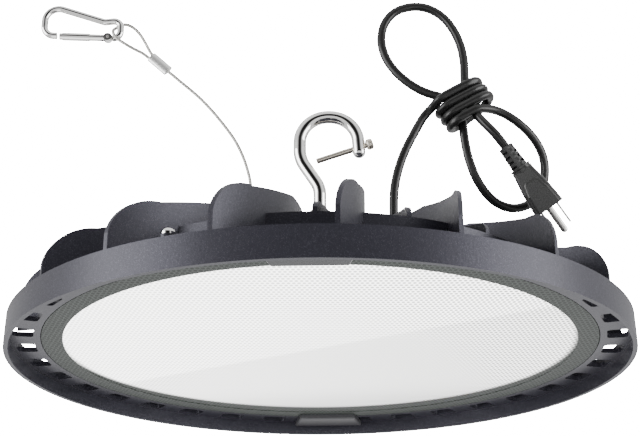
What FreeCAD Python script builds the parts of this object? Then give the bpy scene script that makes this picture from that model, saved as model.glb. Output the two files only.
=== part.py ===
"""High bay light: a die-cast finned lamp with a round lens, a driver compartment, a hanging hook,
a safety wire with a snap hook, and a tied supply cord with its plug.

Frame: +Z up, origin at the centre of the ring's bottom rim, -Y the front. Millimetres and degrees.
Angles round the lamp count from -Y towards +X.
"""
import FreeCAD, Part
import math
import os
import re
import Sketcher

Vector = FreeCAD.Vector

# ---------------------------------------------------------------- driving sizes
SIZES = {
    # ring and web of the casting
    "ring_radius": 200, "ring_height": 18.5, "ring_wall": 3, "ring_draft": 0.3,
    "web_height": 9.5, "web_thickness": 3, "web_width": 19,
    "vent_count": 35, "vent_margin": 2, "vent_depth": 12.8, "vent_arc": 5.2, "vent_start": -4.3,
    "vent_corner": 2.5,
    # plate, wall and driver compartment of the casting
    "plate_height": 15, "plate_thickness": 5, "plate_step": 3,
    "trough_width": 43.6, "band_wall": 3, "band_height": 44.6,
    "hub_radius": 76, "hub_wall": 10, "hub_height": 72, "hub_floor": 8,
    # fins
    "fin_count": 18, "fin_margin": 5, "fin_root": 70, "fin_thickness": 2.8, "fin_start": 2.7,
    "fin_sweep": 8, "fin_curve": 150, "fin_peak": 56.5, "fin_crown": 72,
    "fin_bend_radius": 118, "fin_bend": 69.5,
    "fin_corner_run": 27, "fin_corner_drop": 30,
    "rib_start": -1.1, "rib_sweep": 3.5, "rib_curve": 222, "rib_corner": 9, "rib_peak": 53.4,
    "rib_crown": 71,
    # lens and its fixings
    "lens_gap": 0.5, "lens_thickness": 2.5, "lens_border": 13.5, "lens_recess": 0.5,
    "seal_width": 5,
    "clip_angle": -1.8, "clip_margin": 3, "clip_depth": 23, "clip_thickness": 3.5,
    "clip_inner_chord": 42, "clip_outer_chord": 52, "clip_edge": 0.8,
    # light source
    "board_margin": 12, "board_thickness": 1.6, "chip_side": 3, "chip_height": 0.7,
    "chip_rings": 4, "chip_inner_ring": 40, "chip_margin": 24,
    # board screws and their bosses on the casting
    "boss_count": 3, "boss_angle": -29, "boss_margin": 26, "boss_radius": 5.2, "boss_height": 31.5,
    # cover
    "seat_thickness": 1, "cover_thickness": 4, "cover_edge": 1.5, "cover_boss_base": 34,
    "cover_boss_radius": 17, "cover_boss_height": 28, "cover_screw_count": 6,
    # screws
    "screw_radius": 2, "screw_head_radius": 4.3, "screw_head_height": 4.2, "screw_length": 12,
    "clip_screw_inset": 6, "screw_clearance": 0.05, "socket_radius": 1.3, "socket_depth": 1.4,
    # driver
    "driver_length": 96, "driver_width": 58, "driver_height": 20,
    "driver_foot": 3, "driver_foot_length": 9,
    "block_length": 30, "block_width": 16, "block_height": 12,
    "lead_diameter": 2.2, "lead_spacing": 4.5, "lead_start_spacing": 2.3,
    "lead_drop": 8, "lead_step": 5, "lead_foot": 3.5,
    # hanging hook
    "hook_rod": 9, "hook_foot": 66, "hook_lower_bend": 126, "hook_upper_bend": 148,
    "hook_left": -13.9, "hook_right": 25.4, "hook_top": 180, "hook_tip_x": 27.2, "hook_tip": 153,
    "hook_lower_radius": 18, "hook_upper_radius": 22,
    "hook_hole": 4.6, "nut_flats": 14, "nut_height": 6.4, "washer_radius": 9, "washer_thickness": 1.6,
    "pin_rod": 4, "pin_end_x": -2.1, "pin_end_z": 146, "pin_tilt": 19.5,
    "pin_head_radius": 3.9, "pin_head_thickness": 4.4, "pin_head_start": 36.6, "pin_clearance": 0.05,
    # supply cord
    "cord_diameter": 6.3, "gland_x": 50, "gland_flats": 19, "gland_flange": 5, "gland_height": 16,
    "gland_thread": 6, "gland_mouth": 3.6, "gland_nut_radius": 9, "gland_top_radius": 5.6,
    "wrap_x": 101.5, "wrap_z": 189.6, "wrap_tilt": 34, "wrap_length": 25.4, "wrap_width": 44,
    "wrap_depth": 18.9,
    # plug
    "plug_x": 127.3, "plug_y": -8, "plug_z": 152.9, "plug_tilt": 141.4, "plug_turn": 23.5,
    "plug_roll": 64.1, "relief_length": 17, "relief_radius": 5.8, "relief_end_radius": 5,
    "relief_pitch": 3.9, "relief_slot": 1.6, "collar_radius": 7.5, "collar_length": 3,
    "plug_body_length": 31.5, "plug_width": 22, "plug_depth": 22, "plug_neck_width": 14.5,
    "plug_neck_depth": 14, "plug_edge": 2.5,
    "blade_spacing": 12.7, "blade_length": 16, "blade_width": 6.3, "blade_thickness": 1.5,
    "earth_offset": 11.9, "earth_radius": 2.4, "earth_length": 19.5, "blade_row": 4.2,
    # safety wire
    "wire_diameter": 2.4, "socket_x": -47, "socket_radius_outer": 4.5, "socket_height": 16,
    "ferrule_x": -107.9, "ferrule_z": 217.0, "ferrule_tilt": -47, "ferrule_length": 17,
    "ferrule_width": 6, "ferrule_depth": 4.4,
    # snap hook
    "snap_rod": 5, "gate_rod": 5, "gate_pivot_x": -152.4, "gate_pivot_z": 244.2, "gate_pin": 2,
    "gate_tongue": 2.2, "gate_slot": 2.7, "gate_tip_x": -187.2, "gate_tilt": 2.4,
    "gate_sleeve_radius": 2.9,
}

doc = FreeCAD.newDocument("HighBayLight")
sheet = doc.addObject("Spreadsheet::Sheet", "Sizes")
for row, (alias, number) in enumerate(SIZES.items(), 1):
    sheet.set(f"A{row}", alias)
    sheet.set(f"B{row}", str(number))
    sheet.setAlias(f"B{row}", alias)
doc.recompute()


def size(expression):
    """The value of an expression over the sheet's aliases."""
    return float(sheet.evalExpression(str(expression)))


def bound(expression):
    """The same expression as other objects write it."""
    def prefix(match):
        word = match.group(0)
        return "Sizes." + word if word in SIZES else word
    return re.sub(r"[a-z_]+", prefix, str(expression))


def bind(item, **properties):
    for name, expression in properties.items():
        item.setExpression(name, bound(expression))


# ---------------------------------------------------------------- modelling helpers
PARTS = []


def keep(item, label):
    item.Label = label
    PARTS.append(item)
    return item


def new_body(label):
    return keep(doc.addObject("PartDesign::Body", label.title().replace("_", "")), label)


def origin_plane(body, role):
    return next(item for item in body.Origin.OriginFeatures if item.Role == role)


def outline(body, plane, *loops, lift=None):
    """A sketch of closed loops. A corner is (x, y), or (x, y, r) where an arc of radius r leads to the
    next corner: r > 0 bulges to the right of the way the loop runs, r < 0 to the left."""
    sketch = body.newObject("Sketcher::SketchObject", "Outline")
    sketch.AttachmentSupport = [(origin_plane(body, plane), "")]
    sketch.MapMode = "FlatFace"
    if lift is not None:
        sketch.setExpression("AttachmentOffset.Base.z", bound(lift))
    for corners in loops:
        add_loop(sketch, corners)
    return sketch


def add_loop(sketch, corners):
    first = sketch.GeometryCount
    places = [Vector(size(c[0]), size(c[1]), 0) for c in corners]
    count = len(corners)
    for index, corner in enumerate(corners):
        start, end = places[index], places[(index + 1) % count]
        if len(corner) == 2:
            sketch.addGeometry(Part.LineSegment(start, end))
            continue
        radius = size(corner[2])
        chord = end - start
        side = Vector(chord.y, -chord.x, 0).normalize() * math.copysign(1, radius)
        reach = math.sqrt(radius ** 2 - (chord.Length / 2) ** 2)
        middle = (start + end) / 2 + side * (abs(radius) - reach)
        # arcs are stored anticlockwise
        sketch.addGeometry(Part.Arc(start, middle, end) if radius > 0 else Part.Arc(end, middle, start))
    ends = [(2, 1) if len(c) == 3 and size(c[2]) < 0 else (1, 2) for c in corners]
    for index, corner in enumerate(corners):
        edge, following = first + index, first + (index + 1) % count
        sketch.addConstraint(Sketcher.Constraint("Coincident", edge, ends[index][1],
                                                 following, ends[(index + 1) % count][0]))
    for index, corner in enumerate(corners):
        edge = first + index
        for kind, expression in (("DistanceX", corner[0]), ("DistanceY", corner[1])):
            dimension(sketch, expression, kind, -1, 1, edge, ends[index][0])
        if len(corner) == 3:
            dimension(sketch, f"abs({corner[2]})", "Radius", edge)


def dimension(sketch, expression, *constraint):
    number = sketch.addConstraint(Sketcher.Constraint(*constraint, size(expression)))
    sketch.setExpression(f"Constraints[{number}]", bound(expression))


def add_circle(sketch, x, y, radius):
    circle = sketch.addGeometry(Part.Circle(Vector(size(x), size(y), 0), Vector(0, 0, 1), size(radius)))
    dimension(sketch, x, "DistanceX", -1, 1, circle, 3)
    dimension(sketch, y, "DistanceY", -1, 1, circle, 3)
    dimension(sketch, radius, "Radius", circle)


def revolve(body, *loops, kind="Revolution"):
    """Loops of (radius, height) turned round the Z axis."""
    sketch = outline(body, "XZ_Plane", *loops)
    turned = body.newObject("PartDesign::" + kind, kind)
    turned.Profile = sketch
    turned.ReferenceAxis = (sketch, ["V_Axis"])
    turned.Angle = 360
    doc.recompute()
    return turned


def lathe(label, *corners):
    body = new_body(label)
    revolve(body, corners)
    return body


def pad(body, sketch, length, kind="Pad"):
    """Raised along +Z. A pocket cuts the same way."""
    feature = body.newObject("PartDesign::" + kind, kind)
    feature.Profile = sketch
    bind(feature, Length=length)
    feature.Reversed = kind == "Pocket"
    doc.recompute()
    return feature


def polar(body, feature, count):
    pattern = body.newObject("PartDesign::PolarPattern", "Round")
    pattern.Originals = [feature]
    pattern.Axis = (origin_plane(body, "Z_Axis"), [""])
    pattern.Angle = 360
    bind(pattern, Occurrences=count)
    body.Tip = pattern
    doc.recompute()
    return pattern


def at(radius, angle):
    """Sketch expressions of a point at an angle round the lamp."""
    return f"({radius})*sin({angle})", f"-({radius})*cos({angle})"


def shape_feature(label, shape):
    """A piece whose form is swept or gathered, with its sizes read from the sheet."""
    item = keep(doc.addObject("Part::Feature", label.title().replace("_", "")), label)
    item.Shape = Part.Compound([shape])
    return item


def rounded_path(points, radii):
    """Straight runs joined by tangent arcs at the inner points."""
    edges = []
    start = points[0]
    for before, corner, after, radius in zip(points, points[1:], points[2:], radii):
        back = (before - corner).normalize()
        ahead = (after - corner).normalize()
        turn = math.pi - back.getAngle(ahead)
        reach = radius * math.tan(turn / 2)
        first, last = corner + back * reach, corner + ahead * reach
        centre_way = (back + ahead).normalize()
        middle = corner + centre_way * (radius / math.cos(turn / 2) - radius)
        if (first - start).Length > 1e-6:
            edges.append(Part.LineSegment(start, first).toShape())
        edges.append(Part.Arc(first, middle, last).toShape())
        start = last
    if (points[-1] - start).Length > 1e-6:
        edges.append(Part.LineSegment(start, points[-1]).toShape())
    return Part.Wire(edges)


def cord_radii(points):
    """Each arc as large as its two runs allow."""
    radii = []
    for before, corner, after in zip(points, points[1:], points[2:]):
        turn = math.pi - (before - corner).getAngle(after - corner)
        shorter = min((before - corner).Length, (after - corner).Length)
        radii.append(0.45 * shorter / math.tan(turn / 2))
    return radii


def swept(path, diameter):
    """A round rod along a path."""
    edge = path.Edges[0]
    start = edge.valueAt(edge.FirstParameter)
    way = edge.tangentAt(edge.FirstParameter)
    if (start - path.Vertexes[0].Point).Length > 1e-6:
        start = path.Vertexes[0].Point
    ring = Part.Wire(Part.makeCircle(diameter / 2, start, way))
    return path.makePipeShell([ring], True, False)


def bent_rod(points, radii, diameter):
    return swept(rounded_path(points, radii), diameter)


def cord(label, diameter, route):
    """One stretch of cord. Prints its bends and compares its volume with section times length."""
    points = [Vector(*point) for point in route]
    radii = cord_radii(points)
    path = rounded_path(points, radii)
    solid = swept(path, diameter)
    section = math.pi * diameter ** 2 / 4
    ratio = solid.Volume / (section * path.Length)
    bends = " ".join(f"{radius:.0f}" for radius in radii)
    print(f"{label}: {path.Length:.1f} long, volume ratio {ratio:.4f}, bend radii {bends}")
    return shape_feature(label, solid)


def fused(shapes):
    return shapes[0].multiFuse(shapes[1:]).removeSplitter() if len(shapes) > 1 else shapes[0]


def placed(item, x="0", y="0", z="0", axis=(0, 0, 1), angle=None):
    """Places a piece by sheet expressions."""
    if angle is not None:
        item.Placement = FreeCAD.Placement(Vector(), FreeCAD.Rotation(Vector(*axis), size(angle)))
        item.setExpression("Placement.Rotation.Angle", bound(angle))
    for name, expression in (("x", x), ("y", y), ("z", z)):
        item.setExpression("Placement.Base." + name, bound(expression))
    return item


def around(angle, radius):
    """A point's x and y at an angle round the lamp, in numbers."""
    return Vector(radius * math.sin(math.radians(angle)), -radius * math.cos(math.radians(angle)), 0)


def drill(body, ring, angle, bottom, top, count, radius="screw_radius+screw_clearance"):
    """Round holes on a circle."""
    sketch = outline(body, "XY_Plane", lift=bottom)
    add_circle(sketch, *at(ring, angle), radius)
    hole = pad(body, sketch, f"({top})-({bottom})", kind="Pocket")
    polar(body, hole, count)


# ---------------------------------------------------------------- radii that follow the ring
RING_INNER = "(ring_radius-ring_wall)"
RECESS = "(ring_radius-ring_wall-web_width)"
BAND = "(ring_radius-ring_wall-trough_width)"
VENT_OUTER = "(ring_radius-ring_wall-vent_margin)"
VENT_INNER = "(ring_radius-ring_wall-vent_margin-vent_depth)"
FIN_TIP = "(ring_radius-ring_wall-fin_margin)"
BOSS_RING = "(ring_radius-ring_wall-boss_margin)"
CLIP_OUTER = "(ring_radius-ring_wall-clip_margin)"
CLIP_INNER = "(ring_radius-ring_wall-clip_margin-clip_depth)"
CLIP_SCREW_RING = "(ring_radius-ring_wall-clip_margin-clip_screw_inset)"
COVER_SCREW_RING = "(hub_radius-hub_wall/2)"
BOARD = "(ring_radius-ring_wall-web_width-board_margin)"


# ---------------------------------------------------------------- heat sink housing, one casting
# the clips' screws go through the bars between two vents
CLIP_SCREW_ANGLES = ("vent_start+180/vent_count", "vent_start+(floor(vent_count/2)+0.5)*360/vent_count")


def vent_corners():
    """A vent between two radii, with straight sides and rounded corners."""
    near, far = "vent_start-vent_arc/2", "vent_start+vent_arc/2"
    inner_turn = f"vent_corner/{VENT_INNER}*57.2958"
    outer_turn = f"vent_corner/{VENT_OUTER}*57.2958"
    inset_inner, inset_outer = f"{VENT_INNER}+vent_corner", f"{VENT_OUTER}-vent_corner"
    return [at(inset_inner, near), (*at(inset_outer, near), "vent_corner"),
            at(VENT_OUTER, f"{near}+{outer_turn}"),
            (*at(VENT_OUTER, f"{far}-{outer_turn}"), "vent_corner"),
            at(inset_outer, far), (*at(inset_inner, far), "vent_corner"),
            at(VENT_INNER, f"{far}-{inner_turn}"),
            (*at(VENT_INNER, f"{near}+{inner_turn}"), "vent_corner")]


def blade_corners(tip, root, start, sweep, curve):
    """The plan of a swept blade: two arcs a thickness apart."""
    tip_half = f"fin_thickness/2/({tip})*57.2958"
    root_half = f"fin_thickness/2/({root})*57.2958"
    near_tip = at(tip, f"{start}-{tip_half}")
    far_tip = at(tip, f"{start}+{tip_half}")
    far_root = at(root, f"{start}+{sweep}+{root_half}")
    near_root = at(root, f"{start}+{sweep}-{root_half}")
    return [near_tip, (*far_tip, curve), far_root, (*near_root, f"-({curve})")]


def make_housing():
    body = new_body("heat_sink_housing")
    step_top = "(plate_height+plate_thickness)"
    web_top = "(web_height+web_thickness)"
    revolve(body, [
        ("0", "plate_height"), (RECESS, "plate_height"), (RECESS, "web_height"),
        (RING_INNER, "web_height"), (RING_INNER, "0"), ("ring_radius", "0"),
        ("ring_radius-ring_draft", "ring_height"), (RING_INNER, "ring_height"),
        (RING_INNER, web_top), (f"{RECESS}+plate_step", web_top), (f"{RECESS}+plate_step", step_top),
        (BAND, step_top), (BAND, "band_height"),
        (f"{BAND}-band_wall", "band_height"), (f"{BAND}-band_wall", step_top),
        ("hub_radius", step_top), ("hub_radius", "hub_height"),
        ("hub_radius-hub_wall", "hub_height"), ("hub_radius-hub_wall", "plate_height+hub_floor"),
        ("0", "plate_height+hub_floor")])
    vents = pad(body, outline(body, "XY_Plane", vent_corners(), lift="web_height-1"),
                "web_thickness+2", kind="Pocket")
    polar(body, vents, "vent_count")
    boss_sketch = outline(body, "XY_Plane", lift=f"{step_top}-1")
    add_circle(boss_sketch, *at(BOSS_RING, "boss_angle"), "boss_radius")
    boss = pad(body, boss_sketch, f"boss_height-{step_top}+1")
    polar(body, boss, "boss_count")
    blade_base = f"{web_top}-1"
    blade_top = "fin_crown"
    rib = pad(body, outline(body, "XY_Plane",
                            blade_corners(f"{BAND}-0.6", "fin_root", "rib_start", "rib_sweep",
                                          "rib_curve"), lift=f"{step_top}-1"),
              f"{blade_top}-{step_top}+1")
    polar(body, rib, "fin_count")
    revolve(body, [("hub_radius", "rib_crown"), (f"{BAND}-rib_corner", "rib_peak", "-rib_corner"),
                   (BAND, "rib_peak-rib_corner"), (f"{BAND}+4", "rib_peak-rib_corner"),
                   (f"{BAND}+4", "fin_crown+20"), ("hub_radius", "fin_crown+20")], kind="Groove")
    fin = pad(body, outline(body, "XY_Plane",
                            blade_corners(FIN_TIP, "fin_root", "fin_start", "fin_sweep", "fin_curve"),
                            lift=blade_base), f"{blade_top}-({blade_base})")
    polar(body, fin, "fin_count")
    # the corner's arc is level where it leaves the top edge
    corner_radius = "(fin_corner_run^2+fin_corner_drop^2)/(2*fin_corner_drop)"
    corner_foot = "fin_peak-fin_corner_drop"
    revolve(body, [("hub_radius", "fin_crown"), ("fin_bend_radius", "fin_bend"),
                   (f"{FIN_TIP}-fin_corner_run", "fin_peak", f"-({corner_radius})"),
                   (f"{FIN_TIP}+0.01", corner_foot), (f"{FIN_TIP}+1", corner_foot),
                   (f"{FIN_TIP}+1", "fin_crown+20"), ("hub_radius", "fin_crown+20")], kind="Groove")
    revolve(body, [("0", "web_height-2"), (RECESS, "web_height-2"), (RECESS, "plate_height"),
                   ("0", "plate_height")], kind="Groove")
    drill(body, BOSS_RING, "boss_angle", "boss_height-screw_length-1", "boss_height+1", "boss_count")
    drill(body, COVER_SCREW_RING, "0", "hub_height-screw_length", "hub_height+1",
          "cover_screw_count")
    for angle in CLIP_SCREW_ANGLES:
        drill(body, CLIP_SCREW_RING, angle, "web_height-1", "web_height+web_thickness+1", "1")


make_housing()


# ---------------------------------------------------------------- lens, seal and clips
def make_lens():
    edge = f"({RECESS}-lens_gap)"
    panel = f"({edge}-lens_border)"
    lathe("lens", ("0", "web_height+lens_recess"), (panel, "web_height+lens_recess"),
          (f"{panel}+0.6", "web_height"), (edge, "web_height"),
          (edge, "web_height+lens_thickness"), (panel, "web_height+lens_thickness"),
          ("0", "web_height+lens_thickness"))
    seal_bottom = "web_height+lens_thickness"
    lathe("lens_seal", (f"{edge}-1-seal_width", seal_bottom), (f"{edge}-1", seal_bottom),
          (f"{edge}-1", "plate_height"), (f"{edge}-1-seal_width", "plate_height"))


def make_clip(label, turn, screw_angle):
    """A cast tongue under the web that carries the edge of the lens."""
    body = new_body(label)
    inner_half, outer_half = "clip_inner_chord/2", "clip_outer_chord/2"
    sketch = outline(body, "XY_Plane",
                     [(f"-{inner_half}", f"-{CLIP_INNER}"), (f"-({outer_half})", f"-{CLIP_OUTER}"),
                      (outer_half, f"-{CLIP_OUTER}"), (inner_half, f"-{CLIP_INNER}")],
                     lift="web_height-clip_thickness")
    plate = pad(body, sketch, "clip_thickness")
    edges = [f"Edge{n}" for n, edge in enumerate(plate.Shape.Edges, 1)
             if edge.BoundBox.ZMax < size("web_height") - 1
             and edge.BoundBox.YMax > 1 - size(CLIP_OUTER)]
    bevel = body.newObject("PartDesign::Chamfer", "Bevel")
    bevel.Base = (plate, edges)
    bind(bevel, Size="clip_edge")
    doc.recompute()
    hole = outline(body, "XY_Plane", lift="web_height-clip_thickness+1")
    add_circle(hole, *at(CLIP_SCREW_RING, f"{screw_angle}-clip_angle-{turn}"),
               "screw_radius+screw_clearance")
    pad(body, hole, "clip_thickness", kind="Pocket")
    placed(body, angle=f"clip_angle+{turn}")


make_lens()
make_clip("lens_clip_front", 0, CLIP_SCREW_ANGLES[0])
make_clip("lens_clip_rear", 180, CLIP_SCREW_ANGLES[1])


# ---------------------------------------------------------------- screws
def screw_shape(length):
    """A pan head on a plain shank, with a hexagon socket. The head's underside is at z = 0."""
    radius, head, height = size("screw_radius"), size("screw_head_radius"), size("screw_head_height")
    profile = Part.makePolygon([Vector(0, 0, -length), Vector(radius - 0.4, 0, -length),
                                Vector(radius, 0, -length + 0.4), Vector(radius, 0, 0),
                                Vector(head, 0, 0), Vector(head, 0, height * 0.45)])
    crown = Part.Arc(Vector(head, 0, height * 0.45), Vector(head * 0.72, 0, height * 0.9),
                     Vector(0, 0, height)).toShape()
    axis = Part.makeLine(Vector(0, 0, height), Vector(0, 0, -length))
    outline_wire = Part.Wire(Part.__sortEdges__(profile.Edges + [crown, axis]))
    solid = Part.Face(outline_wire).revolve(Vector(), Vector(0, 0, 1), 360)
    socket = polygon_prism(6, size("socket_radius"), size("socket_depth") + 1)
    socket.translate(Vector(0, 0, height - size("socket_depth")))
    return solid.cut(socket)


def polygon_prism(sides, corner_radius, height):
    corners = [Vector(corner_radius * math.cos(2 * math.pi * n / sides),
                      corner_radius * math.sin(2 * math.pi * n / sides), 0) for n in range(sides + 1)]
    return Part.Face(Part.makePolygon(corners)).extrude(Vector(0, 0, height))


def screw_group(label, ring, angles, height, length):
    screws = []
    for angle in angles:
        screw = screw_shape(size(length))
        screw.translate(around(angle, size(ring)) + Vector(0, 0, size(height)))
        screws.append(screw)
    shape_feature(label, Part.Compound(screws))


def even_angles(count, start="0"):
    return [size(f"{start}+360*{number}/{count}") for number in range(int(size(count)))]


screw_group("board_screws", BOSS_RING, even_angles("boss_count", "boss_angle"), "boss_height",
            "screw_length")
screw_group("clip_screws", CLIP_SCREW_RING, [size(angle) for angle in CLIP_SCREW_ANGLES],
            "web_height+web_thickness", "web_thickness+clip_thickness-1.5")
screw_group("cover_screws", COVER_SCREW_RING, even_angles("cover_screw_count"),
            "hub_height+seat_thickness+cover_thickness", "screw_length")


# ---------------------------------------------------------------- light source
def make_board():
    lathe("led_board", ("0", "plate_height-board_thickness"),
          (BOARD, "plate_height-board_thickness"), (BOARD, "plate_height"),
          ("0", "plate_height"))
    side, height = size("chip_side"), size("chip_height")
    inner_ring = size("chip_inner_ring")
    ring_pitch = (size(f"{BOARD}-chip_margin") - inner_ring) / size("chip_rings-1")
    chips = []
    for ring in range(int(size("chip_rings"))):
        radius = inner_ring + ring * ring_pitch
        count = 12 * (ring + 1)
        for number in range(count):
            chip = Part.makeBox(side, side, height, Vector(-side / 2, -side / 2, 0))
            chip.rotate(Vector(), Vector(0, 0, 1), 360 * number / count)
            chip.translate(around(360 * number / count, radius)
                           + Vector(0, 0, size("plate_height-board_thickness-chip_height")))
            chips.append(chip)
    shape_feature("led_chips", Part.Compound(chips))


make_board()


# ---------------------------------------------------------------- driver compartment
SEAT = "hub_height"
COVER = "(hub_height+seat_thickness)"
COVER_TOP = "(hub_height+seat_thickness+cover_thickness)"
BOSS_TOP = "(hub_height+cover_boss_height)"


def make_cover():
    seal = lathe("cover_seal", ("hub_radius-hub_wall", SEAT), ("hub_radius", SEAT),
                 ("hub_radius", COVER), ("hub_radius-hub_wall", COVER))
    drill(seal, COVER_SCREW_RING, "0", f"{SEAT}-1", f"{COVER}+1", "cover_screw_count")
    cover = lathe("driver_cover", ("hook_hole", COVER), ("hub_radius", COVER),
                  ("hub_radius", f"{COVER_TOP}-cover_edge"), ("hub_radius-cover_edge", COVER_TOP),
                  ("cover_boss_base", COVER_TOP), ("cover_boss_radius", BOSS_TOP),
                  ("hook_hole", BOSS_TOP))
    drill(cover, COVER_SCREW_RING, "0", f"{COVER}-1", f"{COVER_TOP}+1", "cover_screw_count")
    drill(cover, "gland_x", "90", f"{COVER}-1", f"{COVER_TOP}+1", "1",
          "gland_thread+screw_clearance")
    drill(cover, "-socket_x", "270", f"{COVER}-1", f"{COVER_TOP}+1", "1",
          "socket_radius_outer-1+screw_clearance")


def make_driver():
    body = new_body("driver")
    sketch = outline(body, "XY_Plane",
                     [("-driver_length/2", "-driver_width/2"), ("driver_length/2", "-driver_width/2"),
                      ("driver_length/2", "driver_width/2"), ("-driver_length/2", "driver_width/2")],
                     lift="plate_height+hub_floor+driver_foot")
    pad(body, sketch, "driver_height")
    foot = outline(body, "XY_Plane",
                   [("-driver_length/2-driver_foot_length", "-driver_width/4"),
                    ("driver_length/2+driver_foot_length", "-driver_width/4"),
                    ("driver_length/2+driver_foot_length", "driver_width/4"),
                    ("-driver_length/2-driver_foot_length", "driver_width/4")],
                   lift="plate_height+hub_floor")
    pad(body, foot, "driver_foot+0.5")
    block = keep(doc.addObject("Part::Box", "TerminalBlock"), "terminal_block")
    bind(block, Length="block_length", Width="block_width", Height="block_height")
    placed(block, "gland_x-block_length/2-14", "-block_width/2",
           "plate_height+hub_floor+driver_foot+driver_height")


def make_leads():
    """Three cores from the gland's foot to the terminal block."""
    top = size(COVER)
    bottom = size("plate_height+hub_floor+driver_foot+driver_height+block_height")
    cores = []
    for number in (-1, 0, 1):
        side = number * size("lead_spacing")
        start_side = number * size("lead_start_spacing")
        x, step = size("gland_x"), size("lead_step")
        points = [Vector(x, start_side, top), Vector(x, start_side, top - size("lead_drop")),
                  Vector(x - step, side, bottom + size("lead_foot")), Vector(x - step, side, bottom)]
        cores.append(bent_rod(points, cord_radii(points), size("lead_diameter")))
    shape_feature("supply_leads", Part.Compound(cores))


make_cover()
make_driver()
make_leads()


# ---------------------------------------------------------------- hanging hook
def make_hook():
    left, right, top = size("hook_left"), size("hook_right"), size("hook_top")
    ring = (right - left) / 2
    points = [Vector(0, 0, size("hook_foot")), Vector(0, 0, size("hook_lower_bend")),
              Vector(left, 0, size("hook_upper_bend")), Vector(left, 0, top),
              Vector(right, 0, top), Vector(size("hook_tip_x"), 0, size("hook_tip"))]
    rod = bent_rod(points, [size("hook_lower_radius"), size("hook_upper_radius"), ring, ring],
                   size("hook_rod"))
    tip = Part.makeSphere(size("hook_rod") / 2, points[-1])
    bore = Part.makeCylinder(size("pin_rod/2+pin_clearance"), size("pin_head_start"),
                             pin_place(size("pin_head_start/2")), pin_way())
    shape_feature("hook", fused([rod, tip]).cut(bore))


def pin_way():
    tilt = math.radians(size("pin_tilt"))
    return Vector(math.cos(tilt), 0, math.sin(tilt))


def pin_place(distance):
    return Vector(size("pin_end_x"), 0, size("pin_end_z")) + pin_way() * distance


def make_hook_screw():
    shank = Part.makeCylinder(size("pin_rod/2"), size("pin_head_start") + 1, pin_place(0), pin_way())
    head = Part.makeCylinder(size("pin_head_radius"), size("pin_head_thickness"),
                             pin_place(size("pin_head_start")), pin_way())
    rim = [edge for edge in head.Edges if edge.Length > 6 * size("pin_head_radius")]
    head = head.makeChamfer(0.8, rim)
    shape_feature("hook_screw", fused([shank, head]))


def nut_shape(flats, height, bore):
    prism = polygon_prism(6, flats / math.sqrt(3), height)
    cone = Part.makeCone(flats / 2 + height + 1.0, flats / 2 * 0.95, height + 1.0 + flats * 0.025)
    mirror = cone.mirror(Vector(0, 0, height / 2), Vector(0, 0, 1))
    hole = Part.makeCylinder(bore, height + 2, Vector(0, 0, -1))
    return prism.common(cone).common(mirror).cut(hole)


def make_hook_fixings():
    inner = "hook_rod/2+screw_clearance"
    lathe("hook_washer", (inner, BOSS_TOP), ("washer_radius", BOSS_TOP),
          ("washer_radius", BOSS_TOP + "+washer_thickness"), (inner, BOSS_TOP + "+washer_thickness"))
    bore = size("hook_rod/2+screw_clearance")
    upper = nut_shape(size("nut_flats"), size("nut_height"), bore)
    upper.translate(Vector(0, 0, size(BOSS_TOP + "+washer_thickness")))
    shape_feature("hook_nut", upper)
    lower = nut_shape(size("nut_flats"), size("nut_height"), bore)
    lower.translate(Vector(0, 0, size(COVER + "-nut_height")))
    shape_feature("hook_lock_nut", lower)


make_hook()
make_hook_screw()
make_hook_fixings()


# ---------------------------------------------------------------- cable gland
def make_gland():
    """A hexagon body through the cover, a domed nut, a rubber seal and a lock nut inside."""
    thread, mouth = size("gland_thread"), size("gland_mouth")
    top = size("gland_height")
    flange = polygon_prism(6, size("gland_flats") / math.sqrt(3), size("gland_flange"))
    stem = Part.makeCylinder(thread, size("cover_thickness") + 6,
                             Vector(0, 0, -size("cover_thickness") - 6))
    collar = Part.makeCylinder(thread + 1.2, 4, Vector(0, 0, size("gland_flange")))
    bore = Part.makeCylinder(mouth, 60, Vector(0, 0, -30))
    body = shape_feature("gland_body", fused([flange, stem, collar]).cut(bore))
    nut_radius, end_radius = size("gland_nut_radius"), size("gland_top_radius")
    flange_top = size("gland_flange")
    profile = [(thread + 1.25, flange_top), (nut_radius, flange_top), (nut_radius, top - 4),
               (end_radius + 0.6, top), (mouth, top), (mouth, flange_top + 4),
               (thread + 1.25, flange_top + 4)]
    wire = Part.makePolygon([Vector(r, 0, z) for r, z in profile + profile[:1]])
    nut = Part.Face(wire).revolve(Vector(), Vector(0, 0, 1), 360)
    nut = nut.cut(grip_cuts(nut_radius, flange_top, 6))
    dome = shape_feature("gland_nut", nut)
    seal = Part.makeCylinder(mouth, top + size("cover_thickness"), Vector(0, 0, -size("cover_thickness")))
    rubber = shape_feature("gland_seal", seal)
    lock = nut_shape(size("gland_flats"), 4, thread + 2 * size("screw_clearance"))
    lock.rotate(Vector(), Vector(0, 0, 1), 20)
    lock.translate(Vector(0, 0, -size("cover_thickness") - 4))
    lock_nut = shape_feature("gland_lock_nut", lock)
    for item in (body, dome, rubber, lock_nut):
        placed(item, "gland_x", "0", COVER_TOP)


def grip_cuts(radius, bottom, height):
    """Flats round a nut, for a spanner."""
    cuts = []
    for number in range(8):
        cut = Part.makeBox(2, 3.0, height - 1.5, Vector(radius - 0.7, -1.5, bottom + 1.5))
        cut.rotate(Vector(), Vector(0, 0, 1), 45 * number)
        cuts.append(cut)
    return Part.Compound(cuts)


make_gland()


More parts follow.
